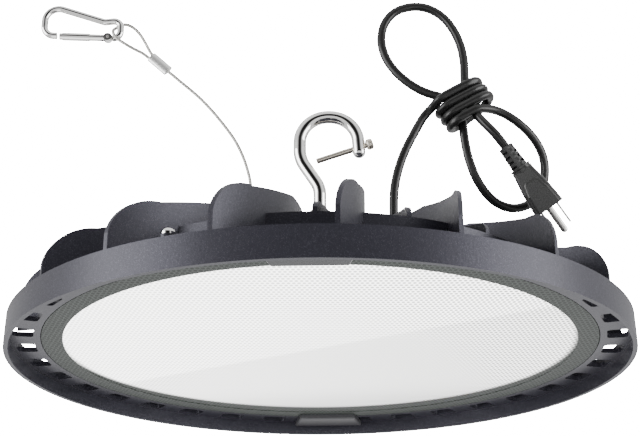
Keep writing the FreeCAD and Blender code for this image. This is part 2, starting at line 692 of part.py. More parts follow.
# ---------------------------------------------------------------- supply cord, tied in a bow
CORD_LEAD = [(50, 0, 93), (50, 0, 115.5), (51.2, 0, 128), (54.5, 0, 141.9), (59.8, 0, 156),
             (66.5, 0, 168.9), (75.5, 0, 180.5), (85, 0, 187)]
CORD_UPPER_LOOP = [(94, 0, 193.5), (83.5, 0, 195.9), (70.5, 0, 200.8), (56.3, 0, 212.4), (47, 0, 226.3),
                   (43.6, 0, 241.5), (46.6, 0, 256.2), (55.5, 0, 266.8), (69.7, 0, 270.6),
                   (82.5, 0, 267.2), (93.1, 0, 257.4), (100.3, 0, 241.9), (103.2, 0, 226.3),
                   (102.4, 0, 211.1), (101.2, 0, 199)]
CORD_LOWER_LOOP = [(101.5, 1, 181), (100.4, 1.5, 170.2), (101.1, 2, 160.5), (103.6, 4, 147.3),
                   (109.2, 8, 133.4), (118.9, 14, 122.3), (131.6, 19, 117.7), (144.9, 22, 121),
                   (154.4, 22.5, 130.6), (158.9, 20, 143.3), (157.8, 15, 156.8), (150.2, 9, 168.4),
                   (138.2, 3, 177), (125, 1, 184.2), (112, 0, 188.4)]
CORD_TAIL_START = [(107.7, -6, 180.2), (112.9, -9.5, 171.2)]


def plug_turned():
    """How the plug's own axes are turned: rolled, then tipped over."""
    turn = math.radians(size("plug_turn"))
    tipping = FreeCAD.Rotation(Vector(-math.sin(turn), math.cos(turn), 0), size("plug_tilt"))
    return tipping * FreeCAD.Rotation(Vector(0, 0, 1), size("plug_roll"))


def plug_way():
    return plug_turned().multVec(Vector(0, 0, 1))


def plug_start():
    return Vector(size("plug_x"), size("plug_y"), size("plug_z"))


def make_cord():
    diameter = size("cord_diameter")
    cord("power_cord_lead", diameter, CORD_LEAD)
    cord("power_cord_upper_loop", diameter, CORD_UPPER_LOOP)
    cord("power_cord_lower_loop", diameter, CORD_LOWER_LOOP)
    cord("power_cord_tail", diameter,
         CORD_TAIL_START + [tuple(plug_start() - plug_way() * 10), tuple(plug_start())])
    width, depth, length = size("wrap_width"), size("wrap_depth"), size("wrap_length")
    half = (width - depth) / 2
    arcs = [Part.makeLine(Vector(-half, -depth / 2, 0), Vector(half, -depth / 2, 0)),
            Part.Arc(Vector(half, -depth / 2, 0), Vector(width / 2, 0, 0),
                     Vector(half, depth / 2, 0)).toShape(),
            Part.makeLine(Vector(half, depth / 2, 0), Vector(-half, depth / 2, 0)),
            Part.Arc(Vector(-half, depth / 2, 0), Vector(-width / 2, 0, 0),
                     Vector(-half, -depth / 2, 0)).toShape()]
    wrap = Part.Face(Part.Wire(arcs)).extrude(Vector(0, 0, length))
    wrap.translate(Vector(0, 0, -length / 2))
    wrap = shape_feature("cord_wrap", wrap)
    placed(wrap, "wrap_x", "0", "wrap_z", axis=(0, 1, 0), angle="180-wrap_tilt")


make_cord()


# ---------------------------------------------------------------- plug
def lofted(sections):
    """A solid through rounded rectangles. Each is (height, width, depth, corner)."""
    wires = []
    for height, width, depth, corner in sections:
        box = Part.makeBox(width, depth, 1, Vector(-width / 2, -depth / 2, height))
        upright = [edge for edge in box.Edges if edge.BoundBox.ZLength > 0.5]
        face = next(f for f in box.makeFillet(corner, upright).Faces if abs(f.CenterOfMass.z - height) < 1e-6)
        wires.append(face.OuterWire)
    return Part.makeLoft(wires, True, True)


def make_plug():
    relief, collar = size("relief_length"), size("collar_length")
    start = relief + collar
    end = start + size("plug_body_length")
    sleeve = Part.makeCone(size("relief_end_radius"), size("relief_radius"), relief)
    slots = []
    for row in range(4):
        for side in range(4):
            low = size(f"1.2+relief_pitch*({row}+{side % 2}/2)")
            slot = Part.makeBox(4, 5.8, size("relief_slot"), Vector(size("cord_diameter/2+0.1"), -2.9, low))
            slot.rotate(Vector(), Vector(0, 0, 1), 45 + 90 * side)
            slots.append(slot)
    pieces = [shape_feature("plug_strain_relief", sleeve.cut(Part.Compound(slots)))]
    corner = size("plug_edge")
    neck = Part.makeCylinder(size("collar_radius"), collar + 1, Vector(0, 0, relief))
    groove = Part.makeCylinder(size("collar_radius+1"), 0.6, Vector(0, 0, relief + 1.2))
    groove = groove.cut(Part.makeCylinder(size("collar_radius-0.6"), 0.6, Vector(0, 0, relief + 1.2)))
    width, depth = size("plug_width"), size("plug_depth")
    body = lofted([(start, size("plug_neck_width"), size("plug_neck_depth"), corner),
                   (start + 15, width - 2.5, depth - 4, corner),
                   (end, width, depth - 3, corner)])
    shield = lofted([(start + 4, 6, size("plug_neck_depth") - 1, corner),
                     (start + 10, 13, depth - 4.5, corner),
                     (start + 18, width - 5, depth - 1.5, corner),
                     (end, width - 3, depth, corner)])
    pieces.append(shape_feature("plug_body", fused([neck.cut(groove), body, shield])))
    blades = []
    for side in (-1, 1):
        place = Vector(side * size("blade_spacing/2") - size("blade_thickness/2"),
                       size("blade_row") - size("blade_width/2"), end)
        blade = Part.makeBox(size("blade_thickness"), size("blade_width"), size("blade_length"), place)
        tips = [edge for edge in blade.Edges
                if edge.BoundBox.XLength > 1 and edge.BoundBox.ZMin > end + 1 and edge.BoundBox.YLength < 1]
        blades.append(blade.makeChamfer(1.2, tips))
    pieces.append(shape_feature("plug_blades", Part.Compound(blades)))
    earth = Part.makeCylinder(size("earth_radius"), size("earth_length-earth_radius"))
    nose = Part.makeSphere(size("earth_radius"), Vector(0, 0, size("earth_length-earth_radius")))
    pin = fused([earth, nose])
    pin.translate(Vector(0, size("blade_row-earth_offset"), end))
    pieces.append(shape_feature("plug_earth_pin", pin))
    for piece in pieces:
        piece.Placement = FreeCAD.Placement(Vector(), plug_turned())
        placed(piece, "plug_x", "plug_y", "plug_z")


make_plug()


# ---------------------------------------------------------------- safety wire
WIRE_START = [(-47, 0, 93), (-46.9, 0, 116.2), (-47.2, 0, 128.7), (-49.9, 0, 140.6), (-53.7, 0, 151.6),
              (-59, 0, 162.6), (-66.4, 0, 173.4), (-75.2, 0, 185), (-85.2, 0, 196.4)]
WIRE_LOOP = [(-127, -1.5, 231.2), (-133.5, -3.2, 233.8), (-140.5, -5, 237.6), (-146.4, -5.6, 241.6),
             (-148.7, -2.6, 248), (-149.2, 1.8, 252), (-147.4, 5.4, 256.2), (-142.4, 5.8, 259.4),
             (-136.2, 4.6, 256.6), (-130.3, 3.2, 250), (-125.6, 2, 241.6)]


def ferrule_way():
    tilt = math.radians(size("ferrule_tilt"))
    return Vector(math.sin(tilt), 0, math.cos(tilt))


def make_wire():
    diameter = size("wire_diameter")
    start = Vector(size("ferrule_x"), 0, size("ferrule_z"))
    end = start + ferrule_way() * size("ferrule_length")
    cord("safety_wire", diameter,
         WIRE_START + [tuple(start - ferrule_way() * 11), tuple(start)])
    spread = size("ferrule_width") / 2 - diameter / 2
    side = Vector(ferrule_way().z, 0, -ferrule_way().x)
    cord("safety_wire_loop", diameter,
         [tuple(end - side * spread), tuple(end - side * spread + ferrule_way() * 2.5)] + WIRE_LOOP
         + [tuple(end + side * spread + ferrule_way() * 2.5), tuple(end + side * spread)])
    oval = Part.Ellipse(Vector(), size("ferrule_width/2+1"), size("ferrule_depth/2")).toShape()
    sleeve = Part.Face(Part.Wire(oval)).extrude(Vector(0, 0, size("ferrule_length")))
    placed(shape_feature("wire_ferrule", sleeve), "ferrule_x", "0", "ferrule_z", axis=(0, 1, 0),
           angle="ferrule_tilt")
    socket = Part.makeCylinder(size("socket_radius_outer"), size("socket_height"))
    foot = Part.makeCylinder(size("socket_radius_outer-1"), size("cover_thickness") + 5,
                             Vector(0, 0, -size("cover_thickness") - 5))
    collar = polygon_prism(6, size("socket_radius_outer") + 2.4, 5)
    placed(shape_feature("wire_socket", fused([socket, foot, collar])), "socket_x", "0", COVER_TOP)


make_wire()


# ---------------------------------------------------------------- snap hook
def make_snap_hook():
    rod = size("snap_rod")
    pivot = Vector(size("gate_pivot_x"), 0, size("gate_pivot_z"))
    points = [Vector(-189.2, 0, 246.2), Vector(-198.7, 0, 246.2), Vector(-198.7, 0, 272.3),
              Vector(-155.3, 0, 257.3), Vector(-143.6, 0, 258.6), Vector(-143.6, 0, 243.9), pivot]
    spine = bent_rod(points, [7.5, 9.5, 4, 5, 5], rod)
    tongue_width, tongue = size("gate_tongue"), 3.4
    block = Part.makeCylinder(tongue, tongue_width, pivot - Vector(0, tongue_width / 2, 0), Vector(0, 1, 0))
    clear = Part.makeCylinder(tongue + 1.2, rod * 2, pivot - Vector(0, rod, 0), Vector(0, 1, 0))
    eye = Part.makeCylinder(size("gate_pin/2"), rod, pivot - Vector(0, rod / 2, 0), Vector(0, 1, 0))
    bridge = Part.makeBox(6, tongue_width, 3.6, pivot + Vector(-0.2, -tongue_width / 2, -2.1))
    bridge = bridge.common(Part.makeCylinder(5.4, rod, pivot - Vector(0, rod / 2, 0), Vector(0, 1, 0)))
    body = fused([spine.cut(clear), bridge, block]).cut(eye)
    shape_feature("snap_hook_body", body)
    pin = Part.makeCylinder(size("gate_pin/2"), rod + 0.6, pivot - Vector(0, rod / 2 + 0.3, 0),
                            Vector(0, 1, 0))
    shape_feature("gate_pin", pin)
    make_gate(pivot)


def make_gate(pivot):
    """A round bar, forked at the pivot, that closes against the nose of the hook."""
    rod, slot = size("gate_rod"), size("gate_slot")
    reach = pivot.x - size("gate_tip_x")
    bar = Part.makeCylinder(rod / 2, reach, Vector(), Vector(-1, 0, 0))
    sleeve = Part.makeCylinder(size("gate_sleeve_radius"), reach * 0.56, Vector(-reach * 0.38, 0, 0),
                               Vector(-1, 0, 0))
    cheek = Part.makeCylinder(rod / 2 + 0.6, rod, Vector(0, -rod / 2, 0), Vector(0, 1, 0))
    room = Part.makeCylinder(5.7, slot, Vector(0, -slot / 2, 0), Vector(0, 1, 0))
    bore = Part.makeCylinder(size("gate_pin/2+screw_clearance"), rod * 2, Vector(0, -rod, 0),
                             Vector(0, 1, 0))
    gate = fused([bar, sleeve, cheek]).cut(Part.Compound([room])).cut(bore)
    gate.rotate(Vector(), Vector(0, 1, 0), size("gate_tilt"))
    placed(shape_feature("snap_hook_gate", gate), "gate_pivot_x", "0", "gate_pivot_z")


make_snap_hook()


# ---------------------------------------------------------------- check and export
def check_and_export():
    doc.recompute()
    for item in doc.Objects:
        if "Invalid" in item.State or "Error" in item.State:
            raise RuntimeError(f"{item.Label} failed: {item.getStatusString()}")
    os.makedirs("parts", exist_ok=True)
    for item in PARTS:
        if item.Shape.isNull() or not item.Shape.isValid():
            raise RuntimeError(f"{item.Label} has no valid shape")
        item.Shape.exportStep(f"parts/{item.Label}.step")
        print(f"{item.Label}: {len(item.Shape.Solids)} solids, {item.Shape.Volume:.0f} mm3")


check_and_export()
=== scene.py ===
# %% [markdown]
# # A high bay light
# This lesson dresses a workshop lamp: a die-cast heat sink with a round diffusing lens, hung by a
# polished hook, with its supply cord tied in a bow and a thin safety wire that ends in a snap
# hook. The solids come from the CAD model and are never moved. We give each one a finish, replace
# the plain cords with flowing curves, and add the small details that catch the eye.

# %% Load the frame
import math
import bmesh
import bpy
from mathutils import Matrix, Vector


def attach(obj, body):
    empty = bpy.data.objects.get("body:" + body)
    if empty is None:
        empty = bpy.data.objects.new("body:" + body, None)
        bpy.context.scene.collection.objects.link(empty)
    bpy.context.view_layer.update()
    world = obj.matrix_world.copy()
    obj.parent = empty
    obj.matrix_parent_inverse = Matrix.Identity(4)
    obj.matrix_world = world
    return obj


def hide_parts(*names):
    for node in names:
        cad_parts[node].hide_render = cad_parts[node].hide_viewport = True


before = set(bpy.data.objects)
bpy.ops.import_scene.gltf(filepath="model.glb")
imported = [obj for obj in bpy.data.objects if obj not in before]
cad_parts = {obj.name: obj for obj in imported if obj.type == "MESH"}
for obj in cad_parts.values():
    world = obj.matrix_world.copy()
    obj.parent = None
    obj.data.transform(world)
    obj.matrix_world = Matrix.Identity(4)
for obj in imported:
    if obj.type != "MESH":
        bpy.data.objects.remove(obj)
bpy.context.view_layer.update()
scene = bpy.context.scene
ROOT = "lamp"
MM = 0.001

# %% [markdown]
# ## The camera
# The lamp is seen from below and in front, as a person on the shop floor sees it. The lens is a
# long one, so the ring's ellipse stays calm. A camera looks along its own -Z with +Y up, so its
# turn comes from the way it looks and a small roll.

# %% Camera
EYE = Vector((0.0, -0.7858, -0.2202))
ELEVATION = math.radians(22.4)
ROLL = math.radians(-0.145)
FOCAL_LENGTH, SENSOR_WIDTH = 70.58, 36
FAR_LIMIT = 30

sight = Vector((0, math.cos(ELEVATION), math.sin(ELEVATION)))
lens_data = bpy.data.cameras.new("view")
lens_data.lens = FOCAL_LENGTH
lens_data.sensor_width = SENSOR_WIDTH
lens_data.clip_end = FAR_LIMIT
camera = bpy.data.objects.new("view", lens_data)
facing = sight.to_track_quat("-Z", "Y").to_matrix().to_4x4()
camera.matrix_world = Matrix.Translation(EYE) @ facing @ Matrix.Rotation(ROLL, 4, "Z")
scene.collection.objects.link(camera)
scene.camera = camera
print("camera", [round(number, 3) for number in EYE], "lens", lens_data.lens)

# %% [markdown]
# ## The supply cord
# A cord is one length of cable, so it is one spline. Its control points are those of the cord's
# solids, read in order: out of the gland, a little over three turns round the bundle, round the
# lower loop, up through the turns, round the upper loop, down through the turns again, and into
# the plug. A NURBS spline of order 3 runs near the points as a springy cable would, without
# kinks. The turns are worked out in a loop: an oval path that climbs one cord's width each time
# round. Each control point carries the cable's half width as its radius, over a bevel depth of
# one metre, because Blender counts the radius of a curve's points into its bounding box.

# %% A cord from a list of points
CORD_WIDTH = 6.3 * MM
WIRE_WIDTH = 2.4 * MM


def spline_piece(name, points, width):
    """A smooth cable of a given width through control points in millimetres."""
    curve = bpy.data.curves.new(name, "CURVE")
    curve.dimensions = "3D"
    curve.bevel_depth = 1.0
    curve.bevel_resolution = 5
    curve.resolution_u = 10
    curve.use_fill_caps = True
    spline = curve.splines.new("NURBS")
    spline.points.add(len(points) - 1)
    for spot, point in zip(spline.points, points):
        spot.co = (*(Vector(point) * MM), 1)
        spot.radius = width / 2
    spline.order_u = 3
    spline.use_endpoint_u = True
    piece = bpy.data.objects.new(name, curve)
    scene.collection.objects.link(piece)
    return piece


def centreline(piece):
    """Points along a cable's own middle."""
    bare = piece.data.copy()
    bare.bevel_depth = 0
    ghost = bpy.data.objects.new("ghost", bare)
    mesh = bpy.data.meshes.new_from_object(ghost)
    line = [vertex.co.copy() for vertex in mesh.vertices]
    bpy.data.objects.remove(ghost)
    bpy.data.meshes.remove(mesh)
    bpy.data.curves.remove(bare)
    return line


def line_length(line):
    return sum((b - a).length for a, b in zip(line, line[1:]))


# %% The turns round the bow
BOW_CENTRE = Vector((101.5, 0, 189.6))
BOW_TILT = math.radians(34)
BOW_SIDE = Vector((math.cos(BOW_TILT), 0, math.sin(BOW_TILT)))
BOW_DOWN = Vector((math.sin(BOW_TILT), 0, -math.cos(BOW_TILT)))
TURN_STRAIGHT, TURN_BEND, TURN_PITCH = 9.4, 9.5, 6.6
TURNS = 3.3


def bow_point(side, depth, down):
    return tuple(BOW_CENTRE + BOW_SIDE * side + Vector((0, depth, 0)) + BOW_DOWN * down)


def oval_turn():
    """One turn as (side, depth) pairs: from the left end, over the front, and back behind."""
    slant = TURN_BEND * math.sqrt(0.5)
    front = [(-TURN_STRAIGHT - TURN_BEND, 0), (-TURN_STRAIGHT - slant, -slant),
             (-TURN_STRAIGHT, -TURN_BEND), (-TURN_STRAIGHT / 3, -TURN_BEND),
             (TURN_STRAIGHT / 3, -TURN_BEND), (TURN_STRAIGHT, -TURN_BEND),
             (TURN_STRAIGHT + slant, -slant)]
    return front + [(-side, -depth) for side, depth in front]


def bow_turns():
    """The turns round the bundle, each a cord's width lower than the one before."""
    turn = oval_turn()
    count = int(TURNS * len(turn)) + 1
    return [bow_point(*turn[step % len(turn)], (step / len(turn) - TURNS / 2) * TURN_PITCH)
            for step in range(count)]


print("points in a turn", len(oval_turn()))

# %% The supply cord's route
LEAD = [(50, 0, 93), (50, 0, 115.5), (51.2, 0, 128), (54.5, 0, 141.9), (59.8, 0, 156),
        (66.5, 0.5, 168.9), (73, 3, 182)]
LOWER_LOOP = [(125, -2, 184.2), (138.2, 1, 177), (150.2, 8, 168.4), (157.8, 15, 156.8),
              (158.9, 20, 143.3), (154.4, 22.5, 130.6), (144.9, 22, 121), (131.6, 19, 117.7),
              (118.9, 14, 122.3), (109.2, 8, 133.4), (103.6, 4, 147.3), (101.1, 2, 160.5),
              (100.4, 1.5, 170.2), (99.5, 1, 181)]
UPPER_LOOP = [(94, 0, 193.5), (83.5, 0, 196.2), (70.5, 0, 200.8), (56.3, 0, 212.4), (47, 0, 226.3),
              (43.6, 0, 241.5), (46.6, 0, 256.2), (55.5, 0, 266.8), (69.7, 0, 270.6),
              (82.5, 0, 267.2), (93.1, 0, 257.4), (100.3, 0, 241.9), (103.2, 0, 226.3),
              (102.8, 0, 211.1), (103, 0, 199)]
TAIL = [(105.5, -2, 189), (107.7, -6, 180.2), (112.9, -9.5, 171.2), (121.6, -10.5, 160.7),
        (127.3, -8, 152.9)]

cord_route = LEAD + bow_turns() + LOWER_LOOP + UPPER_LOOP + TAIL
supply_cord = spline_piece("supply_cord", cord_route, CORD_WIDTH)
cord_length = line_length(centreline(supply_cord))
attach(supply_cord, ROOT)
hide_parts("power_cord_lead", "power_cord_upper_loop", "power_cord_lower_loop",
            "power_cord_tail", "cord_wrap")
print(f"supply cord {cord_length:.3f} m")

# %% [markdown]
# ## The safety wire
# The wire is a thin steel rope. It leaves its socket, runs into a flat pressed sleeve, makes an
# eye round the snap hook and comes back into the sleeve. One spline again, and the sleeve hides
# the place where the two runs lie side by side.

# %% The wire's route
SLEEVE_START = Vector((-107.9, 0, 217.0))
SLEEVE_TILT = math.radians(-47)
SLEEVE_WAY = Vector((math.sin(SLEEVE_TILT), 0, math.cos(SLEEVE_TILT)))
SLEEVE_ACROSS = Vector((SLEEVE_WAY.z, 0, -SLEEVE_WAY.x))
SLEEVE_LENGTH, RUN_OFFSET = 17, 1.8


def sleeve_point(along, across):
    return tuple(SLEEVE_START + SLEEVE_WAY * along + SLEEVE_ACROSS * across)


WIRE_RISE = [(-47, 0, 93), (-46.9, 0, 116.2), (-47.2, 0, 128.7), (-49.9, 0, 140.6),
             (-53.7, 0, 151.6), (-59, 0, 162.6), (-66.4, 0, 173.4), (-75.2, 0, 185),
             (-85.2, 0, 196.4), sleeve_point(-11, 0), sleeve_point(0, 0)]
WIRE_EYE = [sleeve_point(SLEEVE_LENGTH, -RUN_OFFSET),
            sleeve_point(SLEEVE_LENGTH + 2.5, -RUN_OFFSET),
            (-127, -1.5, 231.2), (-133.5, -3.2, 233.8), (-140.5, -5, 237.6),
            (-146.4, -5.6, 241.6), (-148.7, -2.6, 248), (-149.2, 1.8, 252), (-147.4, 5.4, 256.2),
            (-142.4, 5.8, 259.4), (-136.2, 4.6, 256.6), (-130.3, 3.2, 250), (-125.6, 2, 241.6),
            sleeve_point(SLEEVE_LENGTH + 2.5, RUN_OFFSET),
            sleeve_point(SLEEVE_LENGTH, RUN_OFFSET), sleeve_point(2, 1.6)]
safety_wire = spline_piece("safety_wire_rope", WIRE_RISE + WIRE_EYE, WIRE_WIDTH)
wire_length = line_length(centreline(safety_wire))
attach(safety_wire, ROOT)
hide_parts("safety_wire", "safety_wire_loop")
print(f"safety wire {wire_length:.3f} m")

# %% [markdown]
# ## Writing shader sums in Python
# A material is a small network of nodes. `Flow` wraps one output socket, so that `1 - mask` or
# `grain * 0.2` adds the Math nodes for us. `Network` wraps a whole tree: its `node` method adds
# any other node from its type, its settings and what goes into its sockets. `Finish` is the
# network of one material, and `feed` joins the results to its shader.

# %% Flow, Network and Finish
class Flow:
    """An output of a shader node that takes part in Python sums."""

    def __init__(self, network, socket):
        self.network = network
        self.socket = socket

    def maths(self, operation, *others):
        return self.network.node("ShaderNodeMath", {"operation": operation}, [self, *others])

    def __add__(self, other):
        return self.maths("ADD", other)

    def __sub__(self, other):
        return self.maths("SUBTRACT", other)

    def __mul__(self, other):
        return self.maths("MULTIPLY", other)

    def __truediv__(self, other):
        return self.maths("DIVIDE", other)

    def __rsub__(self, other):
        return self.network.node("ShaderNodeMath", {"operation": "SUBTRACT"}, [other, self])

    __radd__ = __add__
    __rmul__ = __mul__


class Network:
    """A tree of shader nodes, and the one method that adds a node to it."""

    def __init__(self, tree):
        self.tree = tree

    def node(self, kind, settings=None, sockets=None, output=0):
        """A new node: settings first, then its sockets by name or in order."""
        node = self.tree.nodes.new(kind)
        for name, value in (settings or {}).items():
            if name == "stops":
                self.set_stops(node.color_ramp, value)
            else:
                setattr(node, name, value)
        pairs = sockets.items() if isinstance(sockets, dict) else enumerate(sockets or [])
        for key, value in pairs:
            if isinstance(value, Flow):
                self.tree.links.new(value.socket, node.inputs[key])
            else:
                node.inputs[key].default_value = value
        return Flow(self, node.outputs[output])

    @staticmethod
    def set_stops(ramp, stops):
        while len(ramp.elements) > 1:
            ramp.elements.remove(ramp.elements[-1])
        ramp.elements[0].position, ramp.elements[0].color = stops[0]
        for position, colour in stops[1:]:
            ramp.elements.new(position).color = colour

    def place(self):
        return self.node("ShaderNodeTexCoord", output="Object")

    def noise(self, scale, detail=2, vector=None):
        return self.node("ShaderNodeTexNoise", None,
                         {"Vector": vector or self.place(), "Scale": scale, "Detail": detail})

    def blend(self, factor, low, high):
        """A colour between two others."""
        return self.node("ShaderNodeMix", {"data_type": "RGBA"},
                         {0: factor, 6: low, 7: high}, output=2)

    def bump(self, height, distance, strength=1.0):
        return self.node("ShaderNodeBump", None,
                         {"Height": height, "Distance": distance, "Strength": strength})

    def along(self, vector, axis):
        """How far a point lies along an axis."""
        return self.node("ShaderNodeVectorMath", {"operation": "DOT_PRODUCT"}, [vector, axis],
                         output="Value")

    def spread(self, flow, low, high, to_low=0.0, to_high=1.0):
        """One range stretched over another, with its ends held."""
        return self.node("ShaderNodeMapRange", {"interpolation_type": "SMOOTHSTEP"},
                         [flow, low, high, to_low, to_high])


class Finish(Network):
    """A material under construction. Plain numbers and colours sit on the shader's own sockets."""

    def __init__(self, name, **constants):
        self.material = bpy.data.materials.new(name)
        self.material.use_nodes = True
        super().__init__(self.material.node_tree)
        self.shader = next(n for n in self.tree.nodes if n.type == "BSDF_PRINCIPLED")
        for socket, value in constants.items():
            self.shader.inputs[socket.replace("_", " ")].default_value = value

    def feed(self, **flows):
        for socket, flow in flows.items():
            self.tree.links.new(flow.socket, self.shader.inputs[socket.replace("_", " ")])
        return self


def grey(value):
    return (value, value, value, 1)


def dress(finish, *nodes):
    """Gives CAD nodes, or the scene's own pieces, a finish."""
    for item in nodes:
        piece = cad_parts[item] if isinstance(item, str) else item
        piece.data.materials.clear()
        piece.data.materials.append(finish.material)
    print(finish.material.name, "on", len(nodes), "pieces")


# %% [markdown]
# ## Powder-coated casting
# The housing is cast aluminium under a dark powder coat. Up close the coat is a fine orange peel
# with bright flecks in it. Noise at two scales gives the peel and a slow change of tone; a sharp
# threshold on a very fine noise gives the flecks.

# %% Powder coat
def powder_coat():
    coat = Finish("powder_coat", IOR=1.5, Specular_Tint=(0.86, 0.85, 1.0, 1))
    place = coat.place()
    peel = coat.noise(700, 3, place)
    cloud = coat.noise(14, 4, place)
    fleck = coat.spread(coat.noise(2400, 1, place), 0.58, 0.70)
    base = coat.blend(cloud, (0.014, 0.014, 0.018, 1), (0.020, 0.019, 0.027, 1))
    colour = coat.blend(fleck * 0.35, base, (0.16, 0.16, 0.19, 1))
    rough = 0.33 + cloud * 0.08 - fleck * 0.08
    return coat.feed(Base_Color=colour, Roughness=rough, Metallic=fleck * 0.2,
                     Normal=coat.bump(peel, 0.00010, 0.8))


dress(powder_coat(), "heat_sink_housing", "driver_cover")

# %% Worn edges catch the light
# A small chamfer on the casting's sharp edges gives the thin bright lines of a real coated
# casting.
EDGE_WEAR = 0.4 * MM
SHARP_ANGLE = math.radians(50)
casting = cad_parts["heat_sink_housing"]
chamfer = casting.modifiers.new("edge_wear", "BEVEL")
chamfer.width = EDGE_WEAR
chamfer.segments = 2
chamfer.limit_method = "ANGLE"
chamfer.angle_limit = SHARP_ANGLE
print("edges softened by", chamfer.width, "m")

# %% Clips
def clip_coat():
    coat = Finish("clip_coat")
    grain = coat.noise(1200, 2)
    colour = coat.blend(grain, (0.036, 0.036, 0.040, 1), (0.056, 0.056, 0.062, 1))
    return coat.feed(Base_Color=colour, Roughness=0.4 + grain * 0.15,
                     Normal=coat.bump(grain, 0.00005, 0.7))


dress(clip_coat(), "lens_clip_front", "lens_clip_rear")

# %% [markdown]
# ## The lens
# The diffuser is moulded polycarbonate. Its face is set with tiny six-sided prisms, which scatter
# the light, and its rim is a grey band with the same prisms seen dark. A hexagon lattice is
# two square lattices laid over each other: the nearer centre of the two gives the cell. The
# distance from that centre makes both the dimple's height and the dots of tone, which fade
# towards the left. The panel's glow is painted light: an emission stands in for the studio light
# on the white diffuser. The panel lies a little behind the face, so a grey crescent at the rear,
# from a second rim shifted rearwards, is the frame's painted shadow, and a soft darkening towards
# the rear is painted shade. A faint straight line across the panel is a painted reflection of a
# soft box.

# %% Hexagon cells
CELL_STRETCH = (1, 0.68, 1)
FLAT = (1, 1, 0)


def vector_sum(finish, operation, *inputs):
    return finish.node("ShaderNodeVectorMath", {"operation": operation}, inputs)


def size_of(finish, vector):
    return finish.node("ShaderNodeVectorMath", {"operation": "LENGTH"}, [vector], output="Value")


def hexagon_distance(finish, pitch):
    """How far a point is from its cell's centre, in pitches. The cells are longer front to back."""
    place = vector_sum(finish, "MULTIPLY", finish.place(), CELL_STRETCH)
    half = (pitch / 2, pitch * math.sqrt(3) / 2, 0.5)

    def cell(offset):
        moved = vector_sum(finish, "ADD", place, offset)
        wrapped = vector_sum(finish, "WRAP", moved, half, tuple(-number for number in half))
        return size_of(finish, vector_sum(finish, "MULTIPLY", wrapped, FLAT))

    return cell((0, 0, 0)).maths("MINIMUM", cell(half)) / pitch


def radius_from(finish, shift, squeeze):
    """A point's distance in plan from a shifted centre, with each axis squeezed."""
    moved = vector_sum(finish, "ADD", finish.place(), shift)
    return size_of(finish, vector_sum(finish, "MULTIPLY", moved, squeeze))


# %% Diffuser
LENS_PITCH = 2.9 * MM
PANEL_RADIUS, PANEL_BLUR = 0.1640, 0.0004
# The rear crescent is the frame's painted shadow, drawn in the grey rim's colour.
REAR_SHADOW_SHIFT, REAR_SHADOW_SQUEEZE = (0.0015, 0.0090, 0), (0.966, 1, 0)
REAR_SHADOW_START, REAR_SHADOW_END = 0.1550, 0.1605
SHADE_WAY, SHADE_START, SHADE_END = (0.16, 0.98, 0), 0.08, 0.15
# The straight line is a painted reflection of a soft box.
REFLECTION_WAY, REFLECTION_START, REFLECTION_END = (0.53, 0.85, 0.0), -0.009, -0.004
PANEL_SIDE = 0.15


def diffuser():
    glass = Finish("diffuser", IOR=1.45, Specular_IOR_Level=0.30, Emission_Strength=5.2)
    place = glass.place()
    dot = 1 - glass.spread(hexagon_distance(glass, LENS_PITCH), 0.26, 0.46)
    edge_line = glass.spread(radius_from(glass, (0, 0, 0), FLAT),
                             PANEL_RADIUS, PANEL_RADIUS + PANEL_BLUR)
    # Painted shadow: a second rim, shifted to the rear, widens the grey band there and takes the
    # glow away.
    rear_frame_shadow = glass.spread(radius_from(glass, REAR_SHADOW_SHIFT, REAR_SHADOW_SQUEEZE), REAR_SHADOW_START, REAR_SHADOW_END)
    border_and_rear_shadow = edge_line.maths("MAXIMUM", rear_frame_shadow)
    shade = glass.spread(glass.along(place, SHADE_WAY), SHADE_START, SHADE_END) * 0.5
    # Painted reflection: on one side of a straight line the glow drops by 0.30, where the
    # reflection of a soft box ends.
    painted_reflection = glass.spread(glass.along(place, REFLECTION_WAY), REFLECTION_START, REFLECTION_END) * 0.30
    right = glass.spread(glass.along(place, (1, 0, 0)), -PANEL_SIDE, PANEL_SIDE, 0.55, 1.0)
    panel = glass.blend(dot * right, grey(0.86), grey(0.45))
    # The grey rim's colour, which is also the colour of the painted rear shadow.
    border_and_shadow_tone = glass.blend(dot, (0.058, 0.068, 0.062, 1), (0.016, 0.020, 0.017, 1))
    # Painted light: the glow is an emission standing in for studio light on the white diffuser; the
    # dots, the painted shade, the painted reflection and the grey rim with its painted rear shadow
    # hold it back.
    glow = (1 - dot * right * 0.9) * (1 - shade) * (1 - painted_reflection) * (1 - border_and_rear_shadow)
    light = glass.blend(glow, grey(0.0), (1.0, 1.0, 0.975, 1))
    return glass.feed(Base_Color=glass.blend(border_and_rear_shadow, panel, border_and_shadow_tone), Emission_Color=light,
                      Roughness=0.42 + glass.noise(6, 2) * 0.08,
                      Normal=glass.bump(1 - dot, 0.00014, 0.6))


dress(diffuser(), "lens")

# %% [markdown]
# ## Bright metal
# The hook is polished and plated, the screws and blades are plain satin steel. Polish shows as a
# low roughness with faint smears in it; drawn or turned steel shows fine lines along one way,
# which a noise stretched in that way gives. The closing screw has a smooth shank and a knurled
# head: two crossing waves make the knurl, past the place along the screw's axis where its head
# starts.

# %% Polished and satin metal
def polished():
    metal = Finish("polished_plate", Base_Color=(0.95, 0.945, 0.93, 1), Metallic=1.0)
    smear = metal.noise(90, 4)
    return metal.feed(Roughness=0.04 + smear * 0.08,
                      Normal=metal.bump(metal.noise(240, 2), 0.00004, 0.3))


def satin(name, colour, stretch=(1, 1, 12), roughness=0.26):
    metal = Finish(name, Base_Color=colour, Metallic=1.0)
    lines = metal.noise(700, 2, vector_sum(metal, "MULTIPLY", metal.place(), stretch))
    return metal.feed(Roughness=roughness + lines * 0.16, Normal=metal.bump(lines, 0.00003, 0.6))


